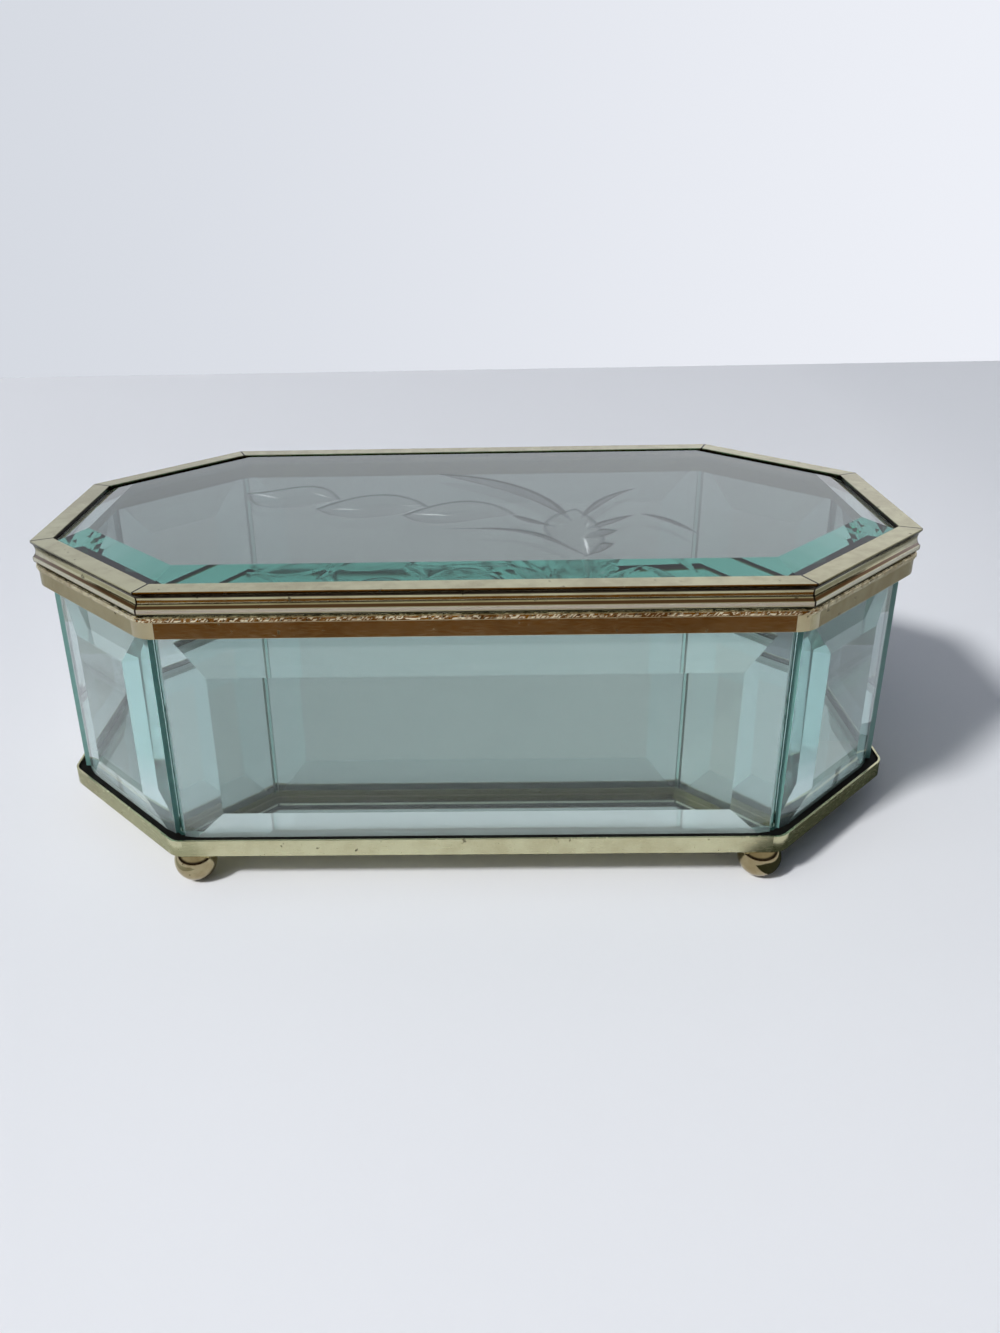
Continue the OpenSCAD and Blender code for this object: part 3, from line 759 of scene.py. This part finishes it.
# Cards just above the floor that only reflections show: what they are made of, their
# colour, and x and y of their corners
CARDS = (
    ("front_card", matt, (0.175, 0.072, 0.007), (
        (-0.5, -1.0), (0.5, -1.0), (0.5, -0.11), (0.165, -0.11),
        (0.13, -0.165), (-0.13, -0.165), (-0.165, -0.11), (-0.5, -0.11),
    )),
    ("left_card", matt, (0.50, 0.51, 0.48), (
        (-0.5, -0.11), (-0.187, -0.11), (-0.187, 0.12), (-0.5, 0.12),
    )),
    ("right_card", matt, (0.36, 0.37, 0.35), (
        (0.187, -0.11), (0.5, -0.11), (0.5, 0.12), (0.187, 0.12),
    )),
    ("left_foot_card", matt, (0.44, 0.46, 0.43), (
        (-0.062, -0.066), (-0.069, -0.073), (-0.129, -0.013), (-0.122, -0.006),
    )),
    # A dark card standing in for the box's shadow on the floor, which the tray and foot on the right
    # reflect: painted shade
    ("right_foot_shadow_card", matt, (0.06, 0.07, 0.05), (
        (0.059, -0.063), (0.119, -0.003), (0.129, -0.013), (0.069, -0.073),
    )),
    # A glowing card, no lamp, in the shadow right of the box, that paints a pale reflection on the
    # right-hand panes
    ("shade_card", glowing, (0.62, 0.68, 0.74), (
        (0.125, -0.07), (0.186, -0.1), (0.186, 0.06), (0.125, 0.06),
    )),
)
for name, made_of, colour, corners in CARDS:
    card = stage_card(name, [(x, y, CARD_Z) for x, y in corners], made_of(name, colour))
    card.visible_camera = False
    card.visible_diffuse = False
    card.visible_shadow = False
    card.visible_transmission = False

# ---------------------------------------------------------------- light
ROOM_LIGHT = 0.17
ROOM_FRONT = (0.22, 0.20, 0.18)
ROOM_BACK = (0.45, 0.65, 0.90)
ROOM_TOP = (0.47, 0.66, 0.90)
DARK_WALLS = (0.03, 0.022, 0.015)
PALE_WALLS = (0.66, 0.69, 0.75)
CEILING = (0.50, 0.48, 0.42)
WINDOW_PLACE = Vector((-3.5, -3.0, 4.2))
WINDOW_COLOUR = (1, 0.99, 0.98)


def soft_room():
    """The light from all round, bluish from the back and above. The brass and the
    face of the glass mirror a dark room with a pale ceiling instead. Seen directly
    or through the glass, the room is pale all round."""
    world = bpy.data.worlds.new("soft_room")
    world.use_nodes = True
    tree = world.node_tree
    tree.nodes.clear()
    _, y, z = axes(tree, "Generated")
    room = blend_colours(tree, ranged(tree, y, -0.9, 0.3, 0.0, 1.0), ROOM_FRONT, ROOM_BACK)
    room = blend_colours(tree, ranged(tree, z, 0.2, 0.9, 0.0, 1.0), room, ROOM_TOP)
    above = ranged(tree, z, 0.16, 0.34, 0.0, 1.0)
    mirrored = blend_colours(tree, above, DARK_WALLS, CEILING)
    seen = blend_colours(tree, above, PALE_WALLS, CEILING)
    ray = add(tree, "LightPath").outputs
    clear_view = calculate(tree, "MAXIMUM", ray["Is Camera Ray"], ray["Is Transmission Ray"])
    surface = add(tree, "Background", {"Color": room, "Strength": ROOM_LIGHT})
    for share, colour in ((ray["Is Glossy Ray"], mirrored), (clear_view, seen)):
        shown = add(tree, "Background", {"Color": colour, "Strength": 1.0})
        surface = add(tree, "MixShader", {0: share, 1: surface.outputs[0], 2: shown.outputs[0]})
    add(tree, "OutputWorld", {"Surface": surface.outputs[0]})
    return world


def lamp(name, size, watts):
    """A round lamp at the window, turned to the box, that nothing mirrors."""
    data = bpy.data.lights.new(name, "AREA")
    data.shape = "DISK"
    data.size = size
    data.energy = watts
    data.color = WINDOW_COLOUR
    light = bpy.data.objects.new(name, data)
    SCENE.collection.objects.link(light)
    turn = WINDOW_PLACE.to_track_quat("Z", "Y").to_matrix().to_4x4()
    light.matrix_world = Matrix.Translation(WINDOW_PLACE) @ turn
    light.visible_glossy = False


SCENE.world = soft_room()
lamp("window", size=0.8, watts=360)
lamp("window_glow", size=6.0, watts=115)

# ---------------------------------------------------------------- camera
# The height of the frame, the focal length and the shift of the view are in pixels.
# The camera's place is measured from the outline's middle
FRAME_HEIGHT = 1333
FOCAL_PIXELS = 1075
SHIFT_PIXELS = (47.2, -20.5)
SENSOR = 36
PITCH, YAW, ROLL = radians(24.56), radians(1.35), radians(-1.23)
CAMERA_PLACE = Vector((0.0005, -0.2522 - FRONT_SHIFT, 0.1488))
BOUNCES = 64

camera = bpy.data.objects.new("camera", bpy.data.cameras.new("camera"))
SCENE.collection.objects.link(camera)
camera.data.sensor_fit = "VERTICAL"
camera.data.sensor_height = SENSOR
camera.data.lens = SENSOR * FOCAL_PIXELS / FRAME_HEIGHT
camera.data.shift_x = SHIFT_PIXELS[0] / FRAME_HEIGHT
camera.data.shift_y = SHIFT_PIXELS[1] / FRAME_HEIGHT
camera.data.clip_start = 0.01
camera.matrix_world = (
    Matrix.Translation(CAMERA_PLACE)
    @ Matrix.Rotation(YAW, 4, "Z")
    @ Matrix.Rotation(radians(90) - PITCH, 4, "X")
    @ Matrix.Rotation(ROLL, 4, "Z")
)
SCENE.camera = camera
SCENE.view_settings.view_transform = "Standard"
SCENE.cycles.max_bounces = BOUNCES
SCENE.cycles.glossy_bounces = BOUNCES
SCENE.cycles.transmission_bounces = BOUNCES
